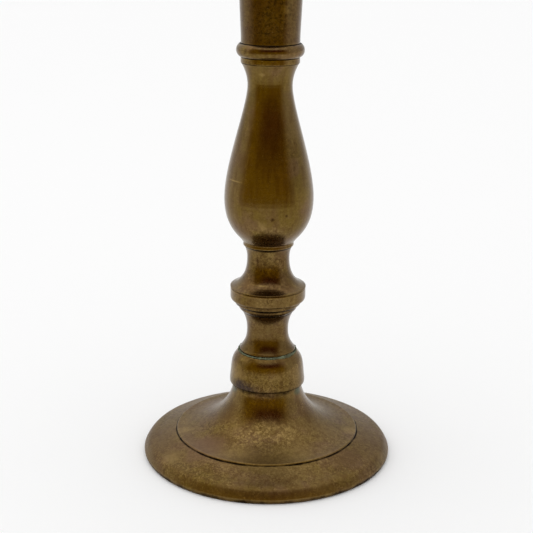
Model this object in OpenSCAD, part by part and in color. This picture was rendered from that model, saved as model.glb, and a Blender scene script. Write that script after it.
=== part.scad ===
// Altar candlestick: turned cast-brass pieces stacked on one threaded rod, with a lift-out wax pan.
// Millimetres. The origin is the centre of the foot's resting face, and +Z is up the stem's axis.

/* [Foot] */
// Diameter of the foot at its rim
foot_d = 127; // [122:0.5:132]
// Height of the seat on the foot's neck, where the barrel knop rests
foot_h = 37.6; // [35:0.1:41]
// Diameter of the turned step between the flat ring and the dome
step_d = 93; // [88:0.5:98]
// Diameter of the foot's neck
neck_d = 34.9; // [34:0.1:36]
// Width of the ring that the foot stands on
rest_w = 4.1; // [3:0.1:6]

/* [Stem] */
// Largest diameter of the barrel knop
barrel_d = 38.3; // [37:0.1:40]
// Height of the barrel knop
barrel_h = 17; // [16:0.1:19]
// Diameter of the lower spool at its waist
lower_waist_d = 20.9; // [20:0.1:22]
// Height of the lower spool
lower_spool_h = 27.7; // [27:0.1:30]
// Diameter of the disc knop
disc_d = 37.8; // [37:0.1:39]
// Height of the disc knop
disc_h = 6.4; // [6:0.1:8]
// Diameter of the upper spool at its waist
upper_waist_d = 21.1; // [20:0.1:22]
// Height of the upper spool
upper_spool_h = 23.9; // [23:0.1:26]
// Diameter of the pear at its belly
pear_d = 44; // [42:0.1:47]
// Diameter of the pear at its waist
pear_waist_d = 21.7; // [21:0.1:24]
// Height of the pear
pear_h = 87.6; // [84:0.1:92]
// Diameter of the ring on the neck collar
collar_d = 32.7; // [32:0.1:34]
// Height of the neck collar
collar_h = 9.2; // [9:0.1:10]

/* [Candle socket and wax pan] */
// Outside diameter of the socket at its foot
socket_d = 28.3; // [28:0.1:29]
// Height of the socket
socket_h = 37.6; // [35:0.1:42]
// Bore of the socket, which takes the wax pan's nozzle
socket_bore_d = 25; // [24.6:0.1:25.2]
// Bore of the nozzle, for a 22 mm (7/8 inch) candle
candle_bore_d = 22.5; // [22.3:0.1:22.7]
// Radial play of the nozzle in the socket
nozzle_play = 0.15; // [0.1:0.01:0.2]
// Diameter of the wax pan over its rolled rim
pan_d = 64; // [60:0.5:70]

/* [Tie rod] */
// Diameter of the rod that holds the stack together
rod_d = 8; // [7.5:0.1:8]
// Width of the nut across its flats
nut_w = 13; // [12.5:0.1:13.5]

/* [Hidden] */
$fn = 96;

// Heights of the seats between the stacked pieces
barrel_z = foot_h;
lower_spool_z = barrel_z + barrel_h;
disc_z = lower_spool_z + lower_spool_h;
upper_spool_z = disc_z + disc_h;
pear_z = upper_spool_z + upper_spool_h;
collar_z = pear_z + pear_h;
socket_z = collar_z + collar_h;
lip_z = socket_z + socket_h;

// Each piece has a spigot on top that centres the next one in a recess
spigot_r = 8;
spigot_h = 2.5;
recess_r = spigot_r + 0.1;
recess_h = spigot_h + 0.3;
rod_r = rod_d / 2;
rod_hole_r = rod_r + 0.3;

// The hollow under the foot, with the boss that the washer and nut pull against
boss_z = foot_h - 8.6;
boss_r = 13.2;
ring_edge = [foot_d / 2 - 3.3, 6.9];
step_z = 11.9;
step_h = 0.9;

// The rod's hardware
washer_h = 1.8;
washer_r = 11;
nut_h = 6.5;
nut_z = boss_z - washer_h - nut_h;
rod_end = 2.4;
socket_floor = 10;
thread_depth = 8;

// The wax pan
nozzle_r = socket_bore_d / 2 - nozzle_play;
nozzle_l = 26;
pan_wall = 1.2;
pan_h = 7;
rim_r = 1.3;
mouth_h = 3.5;

brass = [0.55, 0.44, 0.24];
dark_brass = [0.42, 0.33, 0.18];
old_steel = [0.35, 0.33, 0.31];

// Points along a cubic curve from a to d, with b and c as its handles
function curve(a, b, c, d, steps = 12) = [
    for (i = [0:steps])
        let (t = i / steps, u = 1 - t)
        u * u * u * a + 3 * u * u * t * b + 3 * u * t * t * c + t * t * t * d
];

// Points along an arc, with angles in degrees from the outward direction
function arc(centre, radius, from, to, steps = 6) = [
    for (i = [0:steps])
        let (angle = from + (to - from) * i / steps)
        centre + radius * [cos(angle), sin(angle)]
];

// A list without its first point, for a curve that starts where the last one ended
function rest(points) = [for (i = [1:len(points) - 1]) points[i]];

// Every point raised by the height z
function raised(points, z) = [for (p = points) p + [0, z]];

// The inner corner points of a piece: its recess underneath, and its spigot on top
function recess(z) = [[rod_hole_r, z + recess_h], [recess_r, z + recess_h], [recess_r, z]];
function spigot(z) = [[spigot_r, z], [spigot_r, z + spigot_h], [rod_hole_r, z + spigot_h]];

// A solid of revolution from an outline of [radius, height] points
module turned(outline) {
    rotate_extrude()
        polygon(outline);
}

// A stem piece whose outside runs from its lower seat at height z to its upper seat at z + h
module stem_piece(outside, z, h) {
    color(brass)
        turned(concat(recess(z), raised(outside, z), spigot(z + h)));
}

// Cast foot: rolled rim, sloping ring, turned step, and a dome that sweeps up into the neck
module foot() {
    rim = foot_d / 2;
    neck = neck_d / 2;
    step = step_d / 2;
    rest_edge = rim - 1.4;
    hollow_edge = rest_edge - rest_w;
    underside = concat(
        [[rod_hole_r, boss_z]],
        curve([boss_r, boss_z], [boss_r + 0.4, boss_z - 9], [step - 21, 9.6], [step - 2.5, 8.6]),
        [[hollow_edge - 1, 3.4]],
        [[hollow_edge, 0]]
    );
    outside = concat(
        curve([rest_edge, 0], [rim - 0.5, 0], [rim, 0.9], [rim, 2.4], 5),
        rest(curve([rim, 2.4], [rim - 0.4, 3.5], ring_edge + [1.2, -0.4], ring_edge, 7)),
        [[step + 0.1, step_z], [step, step_z + step_h - 0.3], [step - 0.3, step_z + step_h]],
        rest(curve(
            [step - 0.3, step_z + step_h], [step - 19, step_z + step_h + 1],
            [neck + 0.05, foot_h - 8.9], [neck, foot_h], 18
        ))
    );
    color(brass)
        turned(concat(underside, outside, spigot(foot_h)));
}

// Barrel knop: a rounded drum that narrows to a ledge at the top
module barrel_knop() {
    side = barrel_d / 2;
    outside = concat(
        arc([side - 1, 1], 1, -80, 0, 4),
        [[side, 2.2]],
        rest(curve([side, 2.2], [side - 1.1, 11.9], [side - 0.5, 12.9], [14.9, barrel_h], 14))
    );
    stem_piece(outside, barrel_z, barrel_h);
}

// Lower spool: a small foot, a deep waist, and two stepped mouldings under the disc
module lower_spool() {
    waist = lower_waist_d / 2;
    top = lower_spool_h;
    outside = concat(
        [[13.9, 0], [13.9, 0.8], [14.15, 1.1], [14.1, 1.5]],
        rest(curve([14.1, 1.5], [waist + 0.4, 5.4], [waist, 8.2], [waist, 11.9])),
        rest(curve([waist, 11.9], [waist, 16.3], [waist + 1.3, 19.4], [13.1, top - 6])),
        [[14, top - 5.2], [14.4, top - 4.7], [14.7, top - 4]],
        rest(curve([14.7, top - 4], [14.8, top - 2.8], [15.3, top - 2.3], [16.3, top - 2.2], 5)),
        [[16.6, top - 1.9], [16.9, top]]
    );
    stem_piece(outside, lower_spool_z, lower_spool_h);
}

// Disc knop: a flat band with rounded edges
module disc_knop() {
    side = disc_d / 2;
    outside = concat(
        curve([side - 1, 0], [side - 0.4, 0.1], [side - 0.1, 0.6], [side - 0.05, 1.5], 4),
        [[side, disc_h - 0.5], [side - 0.25, disc_h]]
    );
    stem_piece(outside, disc_z, disc_h);
}

// Upper spool: a thin lip over the disc, a deep waist, and a narrow fillet under the pear
module upper_spool() {
    waist = upper_waist_d / 2;
    lip = disc_d / 2 + 0.1;
    top = upper_spool_h;
    outside = concat(
        [[lip - 0.3, 0], [lip, 0.3], [lip - 0.1, 0.6], [lip - 0.4, 0.75]],
        rest(curve([lip - 0.4, 0.75], [waist + 0.75, 3.6], [waist, 10.8], [waist, 15.3], 16)),
        rest(curve([waist, 15.3], [waist, 17.5], [waist + 0.55, top - 3.9], [12.1, top - 2.4], 8)),
        [[12.55, top - 2.1], [12.65, top - 1.6], [12.4, top - 0.7], [12.4, top]]
    );
    stem_piece(outside, upper_spool_z, upper_spool_h);
}

// Pear baluster: a round belly low down, a long shoulder, and a waist that flares to the collar
module pear_baluster() {
    belly = pear_d / 2;
    waist = pear_waist_d / 2;
    belly_z = 21.6;
    waist_z = pear_h - 10.7;
    outside = concat(
        [[12.7, 0], [13.15, 0.4]],
        rest(curve([13.15, 0.4], [14.6, 2.8], [belly, 7.2], [belly, belly_z], 16)),
        rest(curve(
            [belly, belly_z], [belly, belly_z + 16.8], [waist, waist_z - 10.5], [waist, waist_z], 24
        )),
        rest(curve(
            [waist, waist_z], [waist, waist_z + 4.5], [waist + 1.75, pear_h - 2.3], [13.95, pear_h], 9
        ))
    );
    stem_piece(outside, pear_z, pear_h);
}

// Neck collar: a flat fillet with a half-round ring above it
module neck_collar() {
    ring_r = 3.73;
    ring_centre = [collar_d / 2 - ring_r, collar_h - 3.15];
    outside = concat(
        [[14.05, 0], [14.15, 0.4], [14.2, 2.5], [14.05, 2.9]],
        arc(ring_centre, ring_r, -54, 54, 14),
        [[14.6, collar_h]]
    );
    stem_piece(outside, collar_z, collar_h);
}

// Candle socket: a slightly flared cup with a moulded lip, screwed onto the rod from above
module candle_socket() {
    foot_r = socket_d / 2;
    bore_r = socket_bore_d / 2;
    top = socket_h;
    flare_r = foot_r + 0.044 * (top - 7);
    inside = [
        [0, thread_depth], [rod_r + 0.05, thread_depth], [rod_r + 0.05, recess_h],
        [recess_r, recess_h], [recess_r, 0]
    ];
    outside = concat(
        [[foot_r - 0.15, 0], [foot_r, 0.3], [foot_r, 3.6], [flare_r, top - 4]],
        rest(curve(
            [flare_r, top - 4], [flare_r + 0.1, top - 2.9], [flare_r + 0.6, top - 2.4],
            [flare_r + 1.3, top - 2.2], 4
        )),
        arc([flare_r + 0.9, top - 1.1], 1.1, -50, 90, 8),
        [[bore_r + 0.6, top], [bore_r, top - 0.6], [bore_r, socket_floor], [0, socket_floor]]
    );
    color(brass)
        turned(raised(concat(inside, outside), socket_z));
}

// Wax pan: a dished tray with a rolled rim, and a nozzle that hangs in the socket
module wax_pan() {
    rim = pan_d / 2;
    candle_r = candle_bore_d / 2;
    tray_r = rim - 6;
    rim_centre = [rim - rim_r, pan_h - rim_r];
    underside = concat(
        [[candle_r, -nozzle_l], [nozzle_r - 0.3, -nozzle_l], [nozzle_r, 0.3 - nozzle_l], [nozzle_r, 0]],
        curve([tray_r, 0], [tray_r + 2.5, 0], [rim - 2.6, 1.6], [rim - 2, pan_h - 2.4], 8)
    );
    topside = concat(
        arc(rim_centre, rim_r, -55, 180, 12),
        curve(
            [rim - 3.1, pan_h - 2.1], [rim - 3.8, 2.8], [tray_r + 1.5, pan_wall], [tray_r, pan_wall], 8
        ),
        [[candle_r + 2.2, pan_wall]],
        [[candle_r + 1.5, pan_wall + 0.5], [candle_r + 1.3, mouth_h - 0.4], [candle_r + 0.9, mouth_h]],
        [[candle_r, mouth_h]]
    );
    color(brass)
        translate([0, 0, lip_z])
            turned(concat(underside, topside));
}

// Threaded rod that runs from the socket down through every piece to the nut
module tie_rod() {
    bottom = nut_z - rod_end;
    color(old_steel)
        translate([0, 0, bottom])
            cylinder(r = rod_r, h = socket_z + thread_depth - 0.5 - bottom);
}

// Flat washer that spreads the nut's load under the foot's boss
module rod_washer() {
    color(dark_brass)
        translate([0, 0, boss_z - washer_h])
            difference() {
                cylinder(r = washer_r, h = washer_h);
                translate([0, 0, -1])
                    cylinder(r = rod_hole_r, h = washer_h + 2);
            }
}

// Hexagon nut on the rod's lower end, with its corners chamfered
module rod_nut() {
    corner_r = nut_w / 2 / cos(30);
    chamfer = 0.8;
    color(old_steel)
        translate([0, 0, nut_z])
            difference() {
                intersection() {
                    cylinder(r = corner_r, h = nut_h, $fn = 6);
                    turned([
                        [0, 0], [corner_r - chamfer, 0], [corner_r + chamfer, chamfer],
                        [corner_r + chamfer, nut_h - chamfer], [corner_r - chamfer, nut_h], [0, nut_h]
                    ]);
                }
                translate([0, 0, -1])
                    cylinder(r = rod_r + 0.05, h = nut_h + 2);
            }
}

foot();
barrel_knop();
lower_spool();
disc_knop();
upper_spool();
pear_baluster();
neck_collar();
candle_socket();
wax_pan();
tie_rod();
rod_washer();
rod_nut();
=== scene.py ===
# Altar candlestick: the looks of its turned brass pieces, its threaded rod and its nut.
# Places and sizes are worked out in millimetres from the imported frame, and meshes are in metres.

import math

import bmesh
import bpy
import numpy as np
from mathutils import Matrix, Vector


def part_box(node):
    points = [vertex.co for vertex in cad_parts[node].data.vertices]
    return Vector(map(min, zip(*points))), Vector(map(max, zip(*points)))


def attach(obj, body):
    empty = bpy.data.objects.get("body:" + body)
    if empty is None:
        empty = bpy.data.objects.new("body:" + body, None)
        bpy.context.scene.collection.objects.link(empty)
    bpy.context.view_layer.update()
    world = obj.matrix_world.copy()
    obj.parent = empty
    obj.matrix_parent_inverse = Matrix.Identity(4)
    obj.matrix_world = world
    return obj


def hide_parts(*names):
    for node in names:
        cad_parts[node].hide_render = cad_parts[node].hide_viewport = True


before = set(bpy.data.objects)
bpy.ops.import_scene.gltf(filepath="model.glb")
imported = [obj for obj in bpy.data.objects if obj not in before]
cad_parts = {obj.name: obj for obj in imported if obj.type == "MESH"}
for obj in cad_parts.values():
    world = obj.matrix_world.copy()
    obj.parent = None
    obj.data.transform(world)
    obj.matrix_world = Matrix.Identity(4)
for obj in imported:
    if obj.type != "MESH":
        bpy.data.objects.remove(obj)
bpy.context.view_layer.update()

MM = 0.001

# The pieces from the foot up, as they stand on one another
STACK = [
    "foot", "barrel_knop", "lower_spool", "disc_knop", "upper_spool", "pear_baluster",
    "neck_collar", "candle_socket",
]
SHOWN_RADIUS = 8.3  # nothing nearer to the axis than this shows once the stack is together
CORNER_TURN = math.radians(17)  # an outline that turns more than this at a point has a corner there
SAME = 0.02  # heights that differ by less than this are the same


# ---------------------------------------------------------------- outlines from the frame

def box_mm(node):
    """A node's lowest and highest corners in millimetres."""
    low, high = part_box(node)
    return low / MM, high / MM


def outline_of(node):
    """A turned node's section as rows of radius and height, in order round it, in mm."""
    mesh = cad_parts[node].data
    places = np.array([vertex.co for vertex in mesh.vertices]) / MM
    flat = np.stack([np.hypot(places[:, 0], places[:, 1]), places[:, 2]], axis=1)
    on_seam = (abs(places[:, 1]) < 1e-4) & (places[:, 0] >= 0)
    points = np.unique(flat[on_seam].round(3), axis=0)
    nearest = np.array([abs(points - place).max(axis=1).argmin() for place in flat])
    links = {i: set() for i in range(len(points))}
    for edge in mesh.edges:
        a, b = (int(nearest[vertex]) for vertex in edge.vertices)
        if a != b:
            links[a].add(b)
            links[b].add(a)
    ends = [i for i in links if len(links[i]) == 1]
    order = [ends[0] if ends else 0]
    while onward := [i for i in sorted(links[order[-1]]) if i not in order]:
        order.append(onward[0])
    loop = points[order]
    if ends:  # a solid that reaches the axis is closed along it
        loop = np.vstack([[0, loop[0][1]], loop, [0, loop[-1][1]]])
    after = np.roll(loop, -1, axis=0)
    area = (loop[:, 0] * after[:, 1] - after[:, 0] * loop[:, 1]).sum()
    return loop if area > 0 else loop[::-1]


def turns(loop):
    """The angle by which the outline turns at each point, positive at an outer corner."""
    before = loop - np.roll(loop, 1, axis=0)
    after = np.roll(loop, -1, axis=0) - loop
    cross = before[:, 0] * after[:, 1] - before[:, 1] * after[:, 0]
    return np.arctan2(cross, (before * after).sum(axis=1))


def rounded_corner(before, corner, after, wear):
    """Points round a corner that is worn to about the radius wear."""
    ends = []
    for other in (before, after):
        length = np.linalg.norm(other - corner)
        ends.append(corner + (other - corner) * min(wear / length, 0.4))
    return [
        (1 - t) ** 2 * ends[0] + 2 * t * (1 - t) * corner + t**2 * ends[1]
        for t in np.linspace(0, 1, 5)
    ]


def refined(run, spacing):
    """The smooth curve through a run of points, as points about spacing apart."""
    chords = np.linalg.norm(np.diff(run, axis=0), axis=1)
    along = np.concatenate([[0], np.cumsum(chords)])
    slope = np.gradient(run, along, axis=0, edge_order=min(2, len(run) - 1))
    points = []
    for i, chord in enumerate(chords):
        count = max(1, math.ceil(chord / spacing))
        for t in np.arange(count) / count:
            points.append(
                (2 * t**3 - 3 * t**2 + 1) * run[i] + (t**3 - 2 * t**2 + t) * chord * slope[i]
                + (3 * t**2 - 2 * t**3) * run[i + 1] + (t**3 - t**2) * chord * slope[i + 1]
            )
    return points + [run[-1]]


def worn_outline(loop, spacing, wear):
    """The loop with refined curves and rounded corners, and the turn at each corner point."""
    turn = turns(loop)
    count = len(loop)
    corners = [i for i in range(count) if abs(turn[i]) > CORNER_TURN]
    rounds = {
        i: rounded_corner(loop[i - 1], loop[i], loop[(i + 1) % count], wear)
        if loop[i][0] > SHOWN_RADIUS else [loop[i]]
        for i in corners
    }
    points, bends = [], []
    for start, end in zip(corners, corners[1:] + [corners[0] + count]):
        run = [rounds[start][-1]]
        run += [loop[i % count] for i in range(start + 1, end)]
        run += [rounds[end % count][0]]
        level = abs(run[0][1] - run[-1][1]) < SAME and len(run) == 2
        between = run if level else refined(np.array(run), spacing)
        points += rounds[start] + between[1:-1]
        bends += [turn[start]] * len(rounds[start]) + [0] * (len(between) - 2)
    return np.array(points), np.array(bends)


def outward(outline):
    """The unit normals of the outline, pointing out of the metal."""
    tangent = np.roll(outline, -1, axis=0) - np.roll(outline, 1, axis=0)
    tangent /= np.maximum(np.linalg.norm(tangent, axis=1, keepdims=True), 1e-9)
    return np.stack([tangent[:, 1], -tangent[:, 0]], axis=1)


def nearness(points, sources, reach):
    """1 at a source point, falling away over the distance reach."""
    if len(sources) == 0:
        return np.zeros(len(points))
    gaps = np.linalg.norm(points[:, None] - sources[None], axis=2).min(axis=1)
    return np.exp(-((gaps / reach) ** 2))


# ---------------------------------------------------------------- meshes

def ring_mesh(name, points, attributes, looped):
    """A piece from points[ring][place round the axis] in mm, with numbers for its material."""
    rings, facets = points.shape[:2]
    index = np.arange(rings * facets).reshape(rings, facets)
    across = np.roll(index, -1, axis=1)
    faces = np.stack(
        [index, across, np.roll(across, -1, axis=0), np.roll(index, -1, axis=0)], axis=2
    )
    if not looped:
        faces = faces[:-1]
    mesh = bpy.data.meshes.new(name)
    mesh.from_pydata((points.reshape(-1, 3) * MM).tolist(), [], faces.reshape(-1, 4).tolist())
    for key, values in attributes.items():
        attribute = mesh.attributes.new(key, "FLOAT", "POINT")
        attribute.data.foreach_set("value", np.ravel(values).astype(np.float32))
    weld(mesh)
    mesh.shade_smooth()
    piece = bpy.data.objects.new(name, mesh)
    bpy.context.scene.collection.objects.link(piece)
    return piece


def weld(mesh):
    """Joins the points of a ring that has shrunk to one, and drops the faces that this empties."""
    build = bmesh.new()
    build.from_mesh(mesh)
    bmesh.ops.remove_doubles(build, verts=build.verts, dist=1e-7)
    build.to_mesh(mesh)
    build.free()


def unevenness(angle, height, seed):
    """The slight waviness of an old casting, between about -2 and 2, the same after a full turn."""
    rng = np.random.default_rng(seed)
    total = 0
    for lobes in (1, 2, 3, 5, 8):
        length = rng.uniform(7, 20)
        phase, shift = rng.uniform(0, 2 * math.pi, 2)
        total = total + np.cos(lobes * angle + phase + np.sin(height / length + shift)) / lobes
    return total


def sunken(angle, radius, height, dents):
    """How far small knocks push the metal in. A dent is angle, radius, height, size and depth."""
    total = np.zeros(radius.shape)
    for dent_angle, dent_radius, dent_height, size, depth in dents:
        turn = np.angle(np.exp(1j * (angle - math.radians(dent_angle))))
        gap = (turn * dent_radius) ** 2 + (radius - dent_radius) ** 2 + (height - dent_height) ** 2
        total += depth * np.exp(-gap / size**2)
    return total


SEATS = [box_mm(node)[0].z for node in STACK[1:]]  # the heights at which the pieces meet
SPOOL_SEAT = SEATS[1]  # the groove that the verdigris fills
SINK = 0.04  # how far the worn surface lies inside the CAD one
WAVE = 0.018  # how strongly the unevenness of the casting changes that
HOLD = 0.5  # pieces keep their exact shape this near to a joint
JOINT_DIRT, JOINT_REACH = 0.8, 0.2  # how dirty a joint is, and how far beside it
# inner corners are darkened as dirt and as painted shade, by so much and so far beside them
GROOVE_DIRT_AND_SHADE, GROOVE_REACH = 0.85, 0.22  # the same at an inner corner
EDGE_REACH = 0.3  # how wide an outer corner is rubbed bright


def turned_piece(node, facets, spacing, wear, dents=(), grime_and_shade_bands=()):
    """The detailed piece that stands for a turned CAD node.

    A row of dents is as for sunken. A row of dark bands is the bottom and top of a band darkened
    by dirt and by painted shade, how far it fades out beyond them, and how dark it is.
    """
    outline, bends = worn_outline(outline_of(node), spacing, wear)
    low, high = box_mm(node)
    outline = np.clip(outline, (0, low.z), (high.x, high.z))
    radius = np.repeat(outline[:, :1], facets, axis=1)
    height = np.repeat(outline[:, 1:], facets, axis=1)
    angle = np.arange(facets) * 2 * math.pi / facets
    shown = outline[:, 0] > SHOWN_RADIUS

    held = np.array([abs(outline[:, 1] - z) for z in [low.z, high.z, *SEATS]]).min(axis=0)
    free = np.where(shown, 1 - np.exp(-((held / HOLD) ** 2)), 0)[:, None]
    sink = SINK - WAVE * unevenness(angle, height, seed=len(node))
    sink = (sink + sunken(angle, radius, height, dents)) * free
    normal = outward(outline)
    radius_worn = radius - normal[:, :1] * sink
    height_worn = height - normal[:, 1:] * sink
    points = np.stack(
        [radius_worn * np.sin(angle), -radius_worn * np.cos(angle), height_worn], axis=2
    )

    seat_gap = np.array([abs(outline[:, 1] - z) for z in SEATS]).min(axis=0)
    not_crusted = abs(outline[:, 1] - SPOOL_SEAT) > 1
    # dark lines at the joints, and darkening at inner corners that is dirt with painted shade
    dirt_and_shade = np.maximum(
        JOINT_DIRT * np.exp(-((seat_gap / JOINT_REACH) ** 2)) * not_crusted,
        GROOVE_DIRT_AND_SHADE * nearness(outline, outline[bends < 0], GROOVE_REACH),
    )
    # bands darkened as dirt and as painted shade under overhangs
    for bottom, top, fade, strength in grime_and_shade_bands:
        beyond = np.maximum(np.maximum(bottom - outline[:, 1], outline[:, 1] - top), 0)
        dirt_and_shade = np.maximum(dirt_and_shade, strength * np.exp(-((beyond / fade) ** 2)))
    outer_corners = (bends > 0) & shown & (seat_gap > HOLD)
    edge = nearness(outline, outline[outer_corners], EDGE_REACH)
    steps = np.linalg.norm(np.diff(outline, axis=0, prepend=outline[:1]), axis=1)
    attributes = {"dirt_and_shade": dirt_and_shade, "edge": edge, "along": np.cumsum(steps)}
    if node == "foot":  # its hollow was never turned
        faces_down = normal[:, 1] < 0.02
        inside = outline[:, 0] < inner_limit(outline, low.z)
        attributes["cast"] = 1.0 * (faces_down & inside)
    attributes = {key: np.repeat(values, facets) for key, values in attributes.items()}
    return ring_mesh(node + "_turned", points, attributes, looped=True)


def inner_limit(outline, low):
    """The radius within which a hollow piece's underside lies, inside the ring that it stands on."""
    tolerance, margin = 0.3, 0.1
    ring = outline[abs(outline[:, 1] - low) < tolerance]
    return ring[:, 0].min() + margin


def thread_depth_at(angle, height, pitch, depth):
    """How deep a right-hand thread cuts at each place, in mm."""
    turn = (height / pitch - angle / (2 * math.pi)) % 1
    return depth * np.clip(1.25 - 2.7 * abs(turn - 0.5), 0, 1)


def threaded_rod():
    """The tie rod, with a thread cut at each end and plain between."""
    low, high = box_mm("tie_rod")
    facets = 40
    pitch, depth = 1.25, 0.65
    lower_thread, upper_thread, run_out_length = 24, 14, 2
    chamfer = 0.6
    crest = high.x - 0.03
    lower_end = low.z + lower_thread
    upper_start = high.z - upper_thread
    heights = np.concatenate([
        [low.z],
        np.arange(low.z + 0.05, lower_end, pitch / 8),
        np.linspace(lower_end, upper_start, 12),
        np.arange(upper_start + 0.05, high.z, pitch / 8),
        [high.z],
    ])[:, None]
    angle = np.arange(facets)[None] * 2 * math.pi / facets
    threaded = (
        np.clip((lower_end - heights) / run_out_length, 0, 1)
        + np.clip((heights - upper_start) / run_out_length, 0, 1)
    )
    from_end = np.minimum(heights - low.z, high.z - heights)
    radius = crest - thread_depth_at(angle, heights, pitch, depth) * threaded
    radius = np.minimum(radius, crest - np.clip(chamfer - from_end, 0, chamfer))
    radius = np.vstack([np.zeros(facets), radius, np.zeros(facets)])
    heights = np.vstack([[[low.z]], heights, [[high.z]]])
    points = np.stack(
        [radius * np.sin(angle), -radius * np.cos(angle), heights + 0 * angle], axis=2
    )
    return ring_mesh("tie_rod_threaded", points, {}, looped=False)


def rim_knocks():
    """Small knocks round the foot's rim, as rows for sunken."""
    rng = np.random.default_rng(31)
    count = 14
    rim = box_mm("foot")[1].x - 0.4
    knocks = []
    for rise in rng.uniform(1.5, 6, count):
        bearing, size, depth = rng.uniform(0, 360), rng.uniform(0.9, 1.8), rng.uniform(0.04, 0.12)
        knocks.append((bearing, rim - 0.5 * rise, rise, size, depth))
    return knocks


def hexagon_nut():
    """The nut, with chamfered corners on both sides and a countersunk hole."""
    low, high = box_mm("rod_nut")
    corner, flat = high.x, high.y
    bevel_start = corner - 0.85
    bevel_slope = 2
    hole = box_mm("tie_rod")[1].x + 0.05
    sink = 0.5  # the countersinking of the hole
    facets = 144
    angle = np.arange(facets) * 2 * math.pi / facets
    hexagon = flat / np.cos((angle + math.pi / 6) % (math.pi / 3) - math.pi / 6)
    chamfer_steps = [0, 0.1, 0.2, 0.3, 0.42]
    bevel = [np.minimum(hexagon, bevel_start + bevel_slope * rise) for rise in chamfer_steps]
    lower = [(radius, low.z + rise) for radius, rise in zip(bevel, chamfer_steps)]
    upper = [(radius, high.z - rise) for radius, rise in zip(bevel, chamfer_steps)]
    inside = [
        (hole + sink, high.z), (hole, high.z - sink), (hole, low.z + sink), (hole + sink, low.z)
    ]
    rings = np.array([
        np.stack([radius * np.sin(angle), -radius * np.cos(angle), z + 0 * angle], axis=1)
        for radius, z in lower + upper[::-1] + inside
    ])
    piece = ring_mesh("rod_nut_hexagon", rings, {}, looped=True)
    piece.data.set_sharp_from_angle(angle=math.radians(25))
    return piece


def verdigris_crust():
    """The green crust in the groove where the lower spool stands on the barrel knop."""
    ledge = outline_of("barrel_knop")
    centre = ledge[abs(ledge[:, 1] - SPOOL_SEAT) < SAME][:, 0].max() - 0.5
    half_width, half_height, lift = 0.6, 0.55, 0.35
    facets, around = 420, 8
    angle = np.arange(facets) * 2 * math.pi / facets
    rng = np.random.default_rng(12)
    thickest, spread = math.radians(48), math.radians(25)
    thick = np.exp(-(((angle - thickest) / spread) ** 2))
    build_up = 0.75 + 0.6 * thick + 0.2 * unevenness(angle * 3, SPOOL_SEAT + 0 * angle, seed=5)
    build_up = np.clip(build_up + rng.normal(0, 0.2, facets), 0.3, 1.7)
    rings = []
    for i in range(around):
        side = 2 * math.pi * i / around
        grit = 1 + rng.normal(0, 0.12, facets)
        radius = centre + half_width * np.cos(side) * build_up * grit
        height = SPOOL_SEAT + lift + half_height * np.sin(side) * build_up * grit
        rings.append(np.stack([radius * np.sin(angle), -radius * np.cos(angle), height], axis=1))
    return ring_mesh("verdigris_crust", np.array(rings), {}, looped=True)


# ---------------------------------------------------------------- materials

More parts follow.
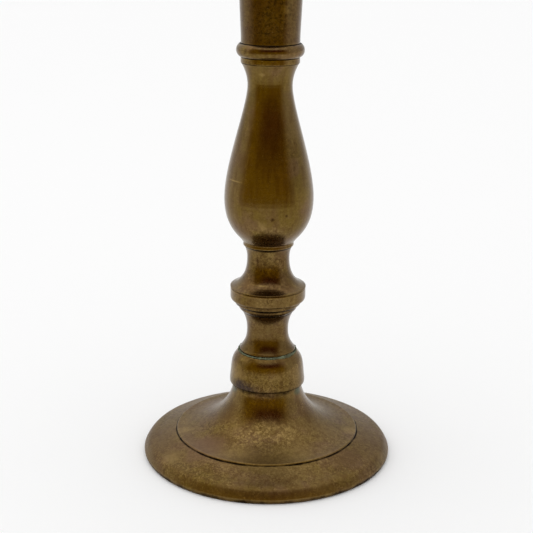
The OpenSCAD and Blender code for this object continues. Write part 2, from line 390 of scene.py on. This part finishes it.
class Paint:
    """Adds and links the nodes of one material."""

    def __init__(self, name):
        self.material = bpy.data.materials.new(name)
        self.material.use_nodes = True
        self.nodes = self.material.node_tree.nodes
        self.links = self.material.node_tree.links
        self.shader = self.nodes["Principled BSDF"]
        scaled = self.add("VectorMath", operation="SCALE")
        self.put(scaled.inputs[0], self.add("TexCoord").outputs["Object"])
        self.put(scaled.inputs["Scale"], 1 / MM)
        self.place = scaled.outputs[0]

    def add(self, kind, **settings):
        """A new shader node of a kind, with its settings."""
        node = self.nodes.new("ShaderNode" + kind)
        for key, value in settings.items():
            setattr(node, key, value)
        return node

    def put(self, socket, value):
        """Sets a socket, or links it where the value is another node's output."""
        if isinstance(value, bpy.types.NodeSocket):
            self.links.new(value, socket)
        else:
            socket.default_value = value

    def calc(self, operation, a, b):
        """The sum, product or other result of two numbers."""
        node = self.add("Math", operation=operation)
        self.put(node.inputs[0], a)
        self.put(node.inputs[1], b)
        return node.outputs[0]

    def attribute(self, name):
        """A number that the mesh carries at each point, or 0 where it has none of that name."""
        return self.add("Attribute", attribute_name=name).outputs["Fac"]

    def noise(self, size, detail=3.0, roughness=0.55, place=None, shift=0.0):
        """Cloudy noise of about 0 to 1, with features about size mm across."""
        node = self.add("TexNoise", noise_dimensions="4D")
        self.put(node.inputs["Vector"], place or self.place)
        self.put(node.inputs["W"], shift)
        self.put(node.inputs["Scale"], 1 / size)
        self.put(node.inputs["Detail"], detail)
        self.put(node.inputs["Roughness"], roughness)
        return node.outputs["Fac"]

    def ramp(self, value, low, high, start=0.0, end=1.0):
        """A smooth step: start up to low, and end from high."""
        node = self.add("MapRange", interpolation_type="SMOOTHSTEP")
        for socket, number in zip(node.inputs, (value, low, high, start, end)):
            self.put(socket, number)
        return node.outputs["Result"]

    def mix(self, share, a, b):
        """Colour a, or b where share is 1."""
        node = self.add("Mix", data_type="RGBA")
        self.put(node.inputs[0], share)
        for socket, colour in ((node.inputs[6], a), (node.inputs[7], b)):
            self.put(socket, (*colour, 1) if isinstance(colour, tuple) else colour)
        return node.outputs[2]

    def vector(self, x, y, z):
        node = self.add("CombineXYZ")
        for socket, value in zip(node.inputs, (x, y, z)):
            self.put(socket, value)
        return node.outputs[0]

    def lathe_streaks(self, size, shift=0.0):
        """Noise drawn out round the axis, as a lathe tool and a polishing cloth leave it."""
        split = self.add("SeparateXYZ")
        self.put(split.inputs[0], self.place)
        stretched = self.vector(
            self.calc("MULTIPLY", split.outputs[0], 0.05),
            self.calc("MULTIPLY", split.outputs[1], 0.05),
            self.calc("DIVIDE", self.attribute("along"), size),
        )
        return self.noise(1, detail=2, place=stretched, shift=shift)

    def wiped(self, size, shift=0.0):
        """Noise drawn out from top to bottom, as a wiping hand leaves it."""
        drawn = self.add("VectorMath", operation="MULTIPLY")
        self.put(drawn.inputs[0], self.place)
        self.put(drawn.inputs[1], (1, 1, 0.12))
        return self.noise(size, detail=3, place=drawn.outputs[0], shift=shift)

    def near(self, mark):
        """How strongly a mark shows, from its middle out to its ragged edge."""
        angle, radius, height, width, tall, strength = mark
        fade_start, fade_end = 0.75, 1.65  # shares of the half size, with the raggedness on top
        turn = math.radians(angle)
        offset = self.add("VectorMath", operation="SUBTRACT")
        self.put(offset.inputs[0], self.place)
        self.put(offset.inputs[1], (radius * math.sin(turn), -radius * math.cos(turn), height))
        shaped = self.add("VectorMath", operation="DIVIDE")
        self.put(shaped.inputs[0], offset.outputs[0])
        self.put(shaped.inputs[1], (0.5 * width, 0.5 * width, 0.5 * tall))
        length = self.add("VectorMath", operation="LENGTH")
        self.put(length.inputs[0], shaped.outputs[0])
        ragged = self.noise(min(width, 3 * tall) / 3, detail=4, shift=angle)
        distance = self.calc("ADD", length.outputs["Value"], ragged)
        return self.ramp(distance, fade_start, fade_end, strength, 0)

    def bump(self, height):
        """The normal of a surface that is raised by a height in mm."""
        node = self.add("Bump")
        self.put(node.inputs["Strength"], 1.0)
        self.put(node.inputs["Distance"], MM)
        self.put(node.inputs["Height"], height)
        return node.outputs[0]


# Base colours, in linear light
TAN = (0.165, 0.104, 0.035)
OLIVE = (0.143, 0.090, 0.019)
ROSE = (0.155, 0.088, 0.046)
BROWN = (0.098, 0.051, 0.015)
UMBER = (0.042, 0.019, 0.005)
# near-black, for dirt, for painted shade and, on the socket, for a painted dark reflection
SOOT_AND_SHADE = (0.008, 0.004, 0.002)
GOLD = (0.320, 0.215, 0.075)
PURPLE = (0.050, 0.034, 0.028)
SALT = (0.060, 0.075, 0.040)
WORN_ROUGHNESS = 0.2  # the least that the brass has, apart from its edges

# Stains, verdigris, bare spots and scratches, most of them after the photograph, and a few painted
# highlights and painted shade, marked below: the angle round from the front in degrees, the radius
# and height of the middle, the width and height of the mark, all in mm, and how strongly it shows
PATCHES = {
    "foot": [
        (GOLD, (-57, 57, 8, 13, 6, 0.35)),
        (GOLD, (70, 61, 6, 9, 6, 0.35)),
        (GOLD, (80, 43, 13, 10, 6, 0.3)),
        (GOLD, (-78, 43, 13, 10, 6, 0.3)),
        (BROWN, (-40, 34, 15, 26, 9, 0.6)),
        (BROWN, (50, 50, 10, 30, 9, 0.5)),
        (ROSE, (-45, 42, 13, 34, 10, 0.7)),
        # painted highlight on the front of the foot before the step
        (GOLD, (0, 40, 13, 60, 7, 0.35)),
        (SALT, (62, 18.5, 35.5, 9, 5, 0.8)),
        (SALT, (-70, 18.5, 35, 8, 4, 0.6)),
        # painted shade: the sides of the foot's ring darker
        (BROWN, (-75, 55, 8, 50, 9, 0.45)),
        (BROWN, (75, 55, 8, 50, 9, 0.45)),
        # painted shade dimming the highlights on the dome's flanks beside the neck
        (BROWN, (-60, 24, 24, 16, 16, 0.7)),
        (BROWN, (60, 24, 24, 12, 12, 0.4)),
    ],
    "barrel_knop": [
        # painted highlight on the barrel knop's left side
        (GOLD, (-60, 19, 45, 15, 13, 0.35)),
        (PURPLE, (-40, 19.3, 39.5, 19, 9, 1.0)),
        (PURPLE, (-27, 19, 37.7, 10, 4, 0.7)),
    ],
    "upper_spool": [
        (GOLD, (6, 11.5, 108, 5, 8, 0.4)),
        (UMBER, (-29, 10.5, 104, 2, 5, 0.6)),
        (GOLD, (-14, 14.2, 92.8, 9, 0.8, 0.6)),
    ],
    "pear_baluster": [
        (GOLD, (-52, 20.9, 145.3, 13, 0.7, 0.9)),
        (GOLD, (-9, 20.8, 124.8, 5, 6, 0.35)),
        (UMBER, (5, 21.6, 128.5, 2.2, 2.2, 0.9)),
        (UMBER, (23, 21.8, 130.1, 1.6, 1.6, 0.8)),
        (GOLD, (-19, 11.9, 195.8, 5, 2, 0.35)),
    ],
    "candle_socket": [(GOLD, (28, 14.7, 225.8, 4, 5, 0.35))],
}

# Places that are speckled with a colour, as rows like those above; a few of them are also painted
# highlight and painted dark reflection, marked below
SPECKLES = {
    # gold speckles, partly a painted highlight on the front of the foot
    "foot": [(GOLD, (-5, 29, 18.5, 48, 22, 0.8)), (GOLD, (0, 45, 11, 80, 7, 0.5))],
    "barrel_knop": [(GOLD, (0, 19, 43, 44, 12, 0.4)), (UMBER, (10, 19, 41, 44, 9, 0.7))],
    # speckles, the umber ones partly a painted dark reflection at the front under the disc knop
    "lower_spool": [(GOLD, (0, 10.5, 69, 34, 22, 0.45)), (UMBER, (0, 10.5, 66, 26, 16, 0.5))],
    "disc_knop": [(UMBER, (5, 20.8, 86, 20, 8, 0.6))],
    # umber speckles, partly a painted dark reflection at the front of the upper spool
    "upper_spool": [(UMBER, (0, 11.5, 103, 28, 24, 0.7)), (UMBER, (0, 17, 92, 30, 6, 0.5))],
    "pear_baluster": [(GOLD, (0, 21, 120, 34, 14, 0.5)), (UMBER, (35, 18, 160, 16, 60, 0.3))],
    # near-black speckles, partly a painted dark reflection at the front of the socket
    "candle_socket": [(GOLD, (10, 14.5, 222, 26, 50, 0.15)), (SOOT_AND_SHADE, (0, 14.5, 226, 30, 60, 0.6))],
}


def aged_brass(name, shift, brown=0.0, dark=0.0, mottle=0.5, matt_below=None):
    """Old brass under a thin brown patina, worn bright on edges, and dark in grooves with dirt and
    painted shade.

    shift gives each piece noise of its own. brown widens the brown stains, dark adds an even umber
    patina, and mottle is how strong the fine mottling is. The piece is duller below the heights in
    matt_below, where the dullness is full and where it ends.
    """
    paint = Paint(name + "_brass")
    cloud = paint.noise(26, detail=3, shift=shift)
    drift = paint.noise(7, detail=5, roughness=0.6, shift=shift + 3)
    grain = paint.noise(1.5, detail=4, roughness=0.65, shift=shift)
    fine = paint.noise(0.9, detail=3, roughness=0.7, shift=shift + 1)
    streaks = paint.lathe_streaks(0.8, shift)
    dirt_and_shade = paint.attribute("dirt_and_shade")
    edge = paint.attribute("edge")
    cast = paint.attribute("cast")

    # the patina: two tones of brass, rosy and brown stains, scuffs, specks and streaks
    colour = paint.mix(paint.ramp(cloud, 0.35, 0.6), OLIVE, TAN)
    rosy = paint.ramp(paint.noise(16, shift=shift + 7), 0.48, 0.62, 0, 0.6)
    colour = paint.mix(rosy, colour, ROSE)
    stained = paint.ramp(drift, 0.62 - brown, 0.8 - brown * 0.6, 0, 0.6)
    colour = paint.mix(stained, colour, BROWN)
    scuffed = paint.calc(
        "MULTIPLY", paint.ramp(fine, 0.5, 0.62), paint.ramp(drift, 0.3, 0.6, 0.3, 1)
    )
    colour = paint.mix(paint.calc("MULTIPLY", scuffed, mottle), colour, GOLD)
    mottled = paint.calc(
        "MULTIPLY", paint.ramp(grain, 0.48, 0.62), paint.ramp(cloud, 0.6, 0.4, 0.35, 1)
    )
    colour = paint.mix(paint.calc("MULTIPLY", mottled, mottle), colour, UMBER)
    colour = paint.mix(paint.ramp(streaks, 0.5, 0.8, 0, 0.2), colour, UMBER)
    colour = paint.mix(paint.ramp(paint.wiped(2.5, shift), 0.42, 0.65, 0, 0.5), colour, BROWN)
    colour = paint.mix(paint.ramp(grain, 0.35, 0.65, dark * 0.75, dark), colour, UMBER)

    # over it: the marks, a few of them painted highlights and painted shade, the rubbed edges, the
    # dirt with its painted shade, and the bare casting's skin
    for stain, mark in PATCHES.get(name, ()):
        colour = paint.mix(paint.near(mark), colour, stain)
    for stain, mark in SPECKLES.get(name, ()):
        dots = paint.ramp(paint.noise(1.4, detail=4, roughness=0.75, shift=mark[0]), 0.48, 0.6)
        colour = paint.mix(paint.calc("MULTIPLY", paint.near(mark), dots), colour, stain)
    colour = paint.mix(paint.calc("MULTIPLY", edge, 0.1), colour, GOLD)
    # dark joints and grooves: dirt, with painted shade in inner corners and in the bands under
    # overhangs
    ragged = paint.calc("ADD", dirt_and_shade, paint.ramp(drift, 0.3, 0.7, -0.25, 0.25))
    grime_and_shade = paint.calc("MULTIPLY", paint.ramp(ragged, 0.2, 1.0), paint.ramp(dirt_and_shade, 0, 0.1))
    colour = paint.mix(grime_and_shade, colour, SOOT_AND_SHADE)
    colour = paint.mix(paint.calc("MULTIPLY", cast, 0.7), colour, UMBER)

    roughness = paint.calc("ADD", WORN_ROUGHNESS, paint.ramp(grain, 0.3, 0.7, 0, 0.08))
    if matt_below is not None:
        full, none = matt_below
        split = paint.add("SeparateXYZ")
        paint.put(split.inputs[0], paint.place)
        duller = paint.ramp(split.outputs[2], full, none, 0.2, 0)
        roughness = paint.calc("ADD", roughness, duller)
    roughness = paint.calc("ADD", roughness, paint.calc("MULTIPLY", grime_and_shade, 0.3))
    roughness = paint.calc("ADD", roughness, paint.calc("MULTIPLY", cast, 0.3))
    roughness = paint.calc("SUBTRACT", roughness, paint.calc("MULTIPLY", edge, 0.05))

    pits = paint.add("TexVoronoi")
    paint.put(pits.inputs["Vector"], paint.place)
    paint.put(pits.inputs["Scale"], 1 / 3.2)
    pit_depth = 0.04
    height = paint.ramp(pits.outputs["Distance"], 0.05, 0.12, -pit_depth, 0)
    rough_skin = paint.calc("MULTIPLY", paint.noise(2.4, detail=5, roughness=0.7), cast)
    reliefs = ((grain, 0.004), (streaks, 0.002), (fine, 0.0015), (rough_skin, 0.35))
    for texture, depth in reliefs:
        height = paint.calc("ADD", height, paint.calc("MULTIPLY", texture, depth))

    paint.put(paint.shader.inputs["Base Color"], colour)
    paint.put(paint.shader.inputs["Metallic"], 1.0)
    paint.put(paint.shader.inputs["Roughness"], roughness)
    paint.put(paint.shader.inputs["Normal"], paint.bump(height))
    return paint.material


def old_iron():
    """Dark iron with a little rust."""
    paint = Paint("old_iron")
    grain = paint.noise(0.8, detail=4)
    rust = paint.ramp(paint.noise(3, detail=4, shift=2), 0.5, 0.7)
    colour = paint.mix(grain, (0.10, 0.09, 0.08), (0.20, 0.18, 0.16))
    colour = paint.mix(rust, colour, (0.16, 0.06, 0.02))
    paint.put(paint.shader.inputs["Base Color"], colour)
    paint.put(paint.shader.inputs["Metallic"], 0.8)
    paint.put(paint.shader.inputs["Roughness"], paint.ramp(rust, 0, 1, 0.38, 0.8))
    paint.put(paint.shader.inputs["Normal"], paint.bump(paint.calc("MULTIPLY", grain, 0.03)))
    return paint.material


def verdigris():
    """The powdery green salt that old brass grows in its grooves."""
    paint = Paint("verdigris")
    patches = paint.ramp(paint.noise(4, detail=4), 0.4, 0.65)
    powder = paint.noise(0.4, detail=3)
    colour = paint.mix(patches, (0.07, 0.072, 0.038), (0.16, 0.18, 0.11))
    colour = paint.mix(paint.ramp(powder, 0.45, 0.7, 0, 0.6), colour, (0.25, 0.28, 0.19))
    paint.put(paint.shader.inputs["Base Color"], colour)
    paint.put(paint.shader.inputs["Roughness"], 0.9)
    paint.put(paint.shader.inputs["Specular IOR Level"], 0.2)
    paint.put(paint.shader.inputs["Normal"], paint.bump(paint.calc("MULTIPLY", powder, 0.08)))
    return paint.material


def paper():
    """Matt white paper with a faint tooth."""
    paint = Paint("paper")
    tooth = paint.noise(0.8, detail=3)
    colour = paint.mix(tooth, (0.95, 0.95, 0.95), (0.97, 0.97, 0.97))
    paint.put(paint.shader.inputs["Base Color"], colour)
    paint.put(paint.shader.inputs["Roughness"], 0.9)
    paint.put(paint.shader.inputs["Specular IOR Level"], 0.1)
    paint.put(paint.shader.inputs["Normal"], paint.bump(paint.calc("MULTIPLY", tooth, 0.01)))
    return paint.material


# ---------------------------------------------------------------- the pieces

def settle(piece, node, body, material):
    """Gives a piece its finish, and lets it stand for its CAD node."""
    piece.data.materials.append(material)
    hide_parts(node)
    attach(piece, body)


def make_candlestick():
    """Every piece with its finish. The tables hold only what isn't the same on all pieces."""
    neck_top, disc_seat = SEATS[0], SEATS[2]
    fineness = {"foot": (400, 0.8)}  # facets round, and the spacing along the outline
    looks = {
        "foot": {"brown": 0.14, "matt_below": (12, 30)},
        "barrel_knop": {"brown": 0.1},
        "lower_spool": {"brown": 0.25, "dark": 0.25},
        "disc_knop": {"brown": 0.1},
        "upper_spool": {"brown": 0.12, "dark": 0.1},
        "pear_baluster": {"mottle": 0.2},
        "candle_socket": {"brown": 0.1, "dark": 0.45, "mottle": 0.35},
    }
    grime_and_shade_bands = {
        # the neck under the barrel knop, the knop's lower edge and the rim's lowest edge are
        # darkened: dirt, with painted shade under the knop's overhang and where the rim meets the
        # floor
        "foot": [(neck_top - 1, neck_top, 1.8, 0.6), (0, 1.3, 1.2, 0.6)],
        "barrel_knop": [(neck_top, neck_top + 0.3, 1.6, 0.5)],
        # darker under the disc knop: painted shade, with a little dirt
        "lower_spool": [(disc_seat - 5, disc_seat, 1.5, 0.3)],
    }
    dents = {"foot": [(44, 59.1, 7.3, 1.2, 0.15)] + rim_knocks()}
    for i, node in enumerate(STACK):
        facets, spacing = fineness.get(node, (256, 0.6))
        piece = turned_piece(
            node, facets, spacing, wear=0.3, dents=dents.get(node, ()), grime_and_shade_bands=grime_and_shade_bands.get(node, ())
        )
        settle(piece, node, "stick", aged_brass(node, i, **looks.get(node, {})))
    pan = turned_piece("wax_pan", facets=288, spacing=0.6, wear=0.25)
    settle(pan, "wax_pan", "pan", aged_brass("wax_pan", 11, brown=0.1, dark=0.15))
    washer = turned_piece("rod_washer", facets=96, spacing=1, wear=0.25)
    settle(washer, "rod_washer", "stick", aged_brass("rod_washer", 12, brown=0.1))
    iron = old_iron()
    settle(threaded_rod(), "tie_rod", "stick", iron)
    settle(hexagon_nut(), "rod_nut", "stick", iron)
    crust = verdigris_crust()
    crust.data.materials.append(verdigris())
    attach(crust, "stick")


make_candlestick()


# ---------------------------------------------------------------- studio

def towards(azimuth, elevation):
    """The unit vector to a place seen from the object. Azimuth 0 is the front, 90 the right."""
    a, e = math.radians(azimuth), math.radians(elevation)
    return Vector((math.sin(a) * math.cos(e), -math.cos(a) * math.cos(e), math.sin(e)))


def softbox(name, azimuth, elevation, distance, width, height, radiance):
    """A large soft light that looks at the middle of the candlestick."""
    light = bpy.data.lights.new(name, "AREA")
    light.shape = "RECTANGLE"
    light.size = width
    light.size_y = height
    light.energy = 4 * width * height * radiance
    lamp = bpy.data.objects.new(name, light)
    bpy.context.scene.collection.objects.link(lamp)
    lamp.location = Vector((0, 0, 0.12)) + towards(azimuth, elevation) * distance
    lamp.rotation_euler = towards(azimuth, elevation).to_track_quat("Z", "Y").to_euler()


def white_surroundings():
    """A white studio all round, brighter above on the left, and an even white to the camera."""
    even_white = 0.975
    world = bpy.data.worlds.new("studio")
    world.use_nodes = True
    bpy.context.scene.world = world
    nodes, links = world.node_tree.nodes, world.node_tree.links
    background = nodes["Background"]
    direction = nodes.new("ShaderNodeTexCoord").outputs["Generated"]
    side = nodes.new("ShaderNodeVectorMath")
    side.operation = "DOT_PRODUCT"
    links.new(direction, side.inputs[0])
    side.inputs[1].default_value = towards(-110, 72)
    glow = nodes.new("ShaderNodeMapRange")
    glow.interpolation_type = "SMOOTHSTEP"
    links.new(side.outputs["Value"], glow.inputs["Value"])
    for key, value in (("From Min", 0.1), ("From Max", 1.0), ("To Min", 0.7), ("To Max", 1.2)):
        glow.inputs[key].default_value = value
    seen = nodes.new("ShaderNodeMix")
    links.new(nodes.new("ShaderNodeLightPath").outputs["Is Camera Ray"], seen.inputs[0])
    links.new(glow.outputs["Result"], seen.inputs[2])
    seen.inputs[3].default_value = even_white
    links.new(seen.outputs[0], background.inputs["Strength"])
    background.inputs["Color"].default_value = (1, 1, 1, 1)


def dark_room(top, left, right):
    """A dim warm room, olive low down and red-brown above, that fades out at its edges."""
    olive, red_brown = (0.47, 0.335, 0.001), (0.13, 0.024, 0.001)
    edge_fade = 30  # degrees
    core_left, core_right, core_fade = -60, 75, 40  # degrees, where the room is red-brown
    core_starts, core_full = 220, 420  # mm above the floor
    fade_from = 0.88 * top / MM
    paint = Paint("dark_room")
    split = paint.add("SeparateXYZ")
    paint.put(split.inputs[0], paint.place)
    x, y, z = split.outputs
    turn = paint.calc("ARCTAN2", x, paint.calc("MULTIPLY", y, -1.0))

    def between(start, end, fade):
        """1 from the bearing start to the bearing end, fading over so many degrees inside them."""
        rise = paint.ramp(turn, math.radians(start), math.radians(start + fade))
        fall = paint.ramp(turn, math.radians(end - fade), math.radians(end), 1, 0)
        return paint.calc("MULTIPLY", rise, fall)

    solid = paint.calc(
        "MULTIPLY", between(left, right, edge_fade), paint.ramp(z, fade_from, top / MM, 1, 0)
    )
    core = paint.calc(
        "MULTIPLY",
        between(core_left, core_right, core_fade),
        paint.ramp(z, core_starts, core_full),
    )
    glow = paint.add("Emission")
    paint.put(glow.inputs["Color"], paint.mix(core, olive, red_brown))
    clear = paint.add("BsdfTransparent")
    both = paint.add("MixShader")
    paint.put(both.inputs[0], solid)
    paint.links.new(clear.outputs[0], both.inputs[1])
    paint.links.new(glow.outputs[0], both.inputs[2])
    output = next(node for node in paint.nodes if node.type == "OUTPUT_MATERIAL")
    paint.links.new(both.outputs[0], output.inputs["Surface"])
    return paint.material


def dark_front():
    """The dark room that the open front of the studio shows to the brass, unseen by the camera."""
    distance, top = 0.6, 0.85  # metres
    left, right = -92, 77  # degrees
    columns, rows = 24, 12
    build = bmesh.new()
    grid = []
    for i in range(columns + 1):
        foot = towards(left + (right - left) * i / columns, 0) * distance
        rises = [Vector((0, 0, top * j / rows)) for j in range(rows + 1)]
        grid.append([build.verts.new(foot + rise) for rise in rises])
    for i in range(columns):
        for j in range(rows):
            build.faces.new([grid[i][j], grid[i + 1][j], grid[i + 1][j + 1], grid[i][j + 1]])
    mesh = bpy.data.meshes.new("dark_front")
    build.to_mesh(mesh)
    build.free()
    mesh.materials.append(dark_room(top, left, right))
    card = bpy.data.objects.new("dark_front", mesh)
    bpy.context.scene.collection.objects.link(card)
    card.visible_camera = False
    card.visible_diffuse = False
    card.visible_transmission = False
    card.visible_shadow = False


def floor():
    """A plain pale floor, square, from -half to half."""
    half = 5  # metres
    mesh = bpy.data.meshes.new("floor")
    corners = [(-half, -half, 0), (half, -half, 0), (half, half, 0), (-half, half, 0)]
    mesh.from_pydata(corners, [], [(0, 1, 2, 3)])
    mesh.materials.append(paper())
    plane = bpy.data.objects.new("floor", mesh)
    bpy.context.scene.collection.objects.link(plane)


def camera():
    """The photograph's view: from the front, a little above, and turned by half a degree."""
    place = (0, -0.5705, 0.2742)
    lens = bpy.data.cameras.new("camera")
    lens.lens = 80.63
    lens.sensor_width = 36
    eye = bpy.data.objects.new("camera", lens)
    bpy.context.scene.collection.objects.link(eye)
    turn = Matrix.Rotation(math.radians(0.086), 4, "Z")
    tilt = Matrix.Rotation(math.radians(72.905), 4, "X")
    roll = Matrix.Rotation(math.radians(0.563), 4, "Z")
    eye.matrix_world = Matrix.Translation(place) @ turn @ tilt @ roll
    bpy.context.scene.camera = eye


floor()
dark_front()
white_surroundings()
softbox(
    "left_softbox", azimuth=-105, elevation=42, distance=1.3, width=0.7, height=0.5, radiance=0.12
)
camera()
bpy.context.scene.view_settings.view_transform = "Standard"
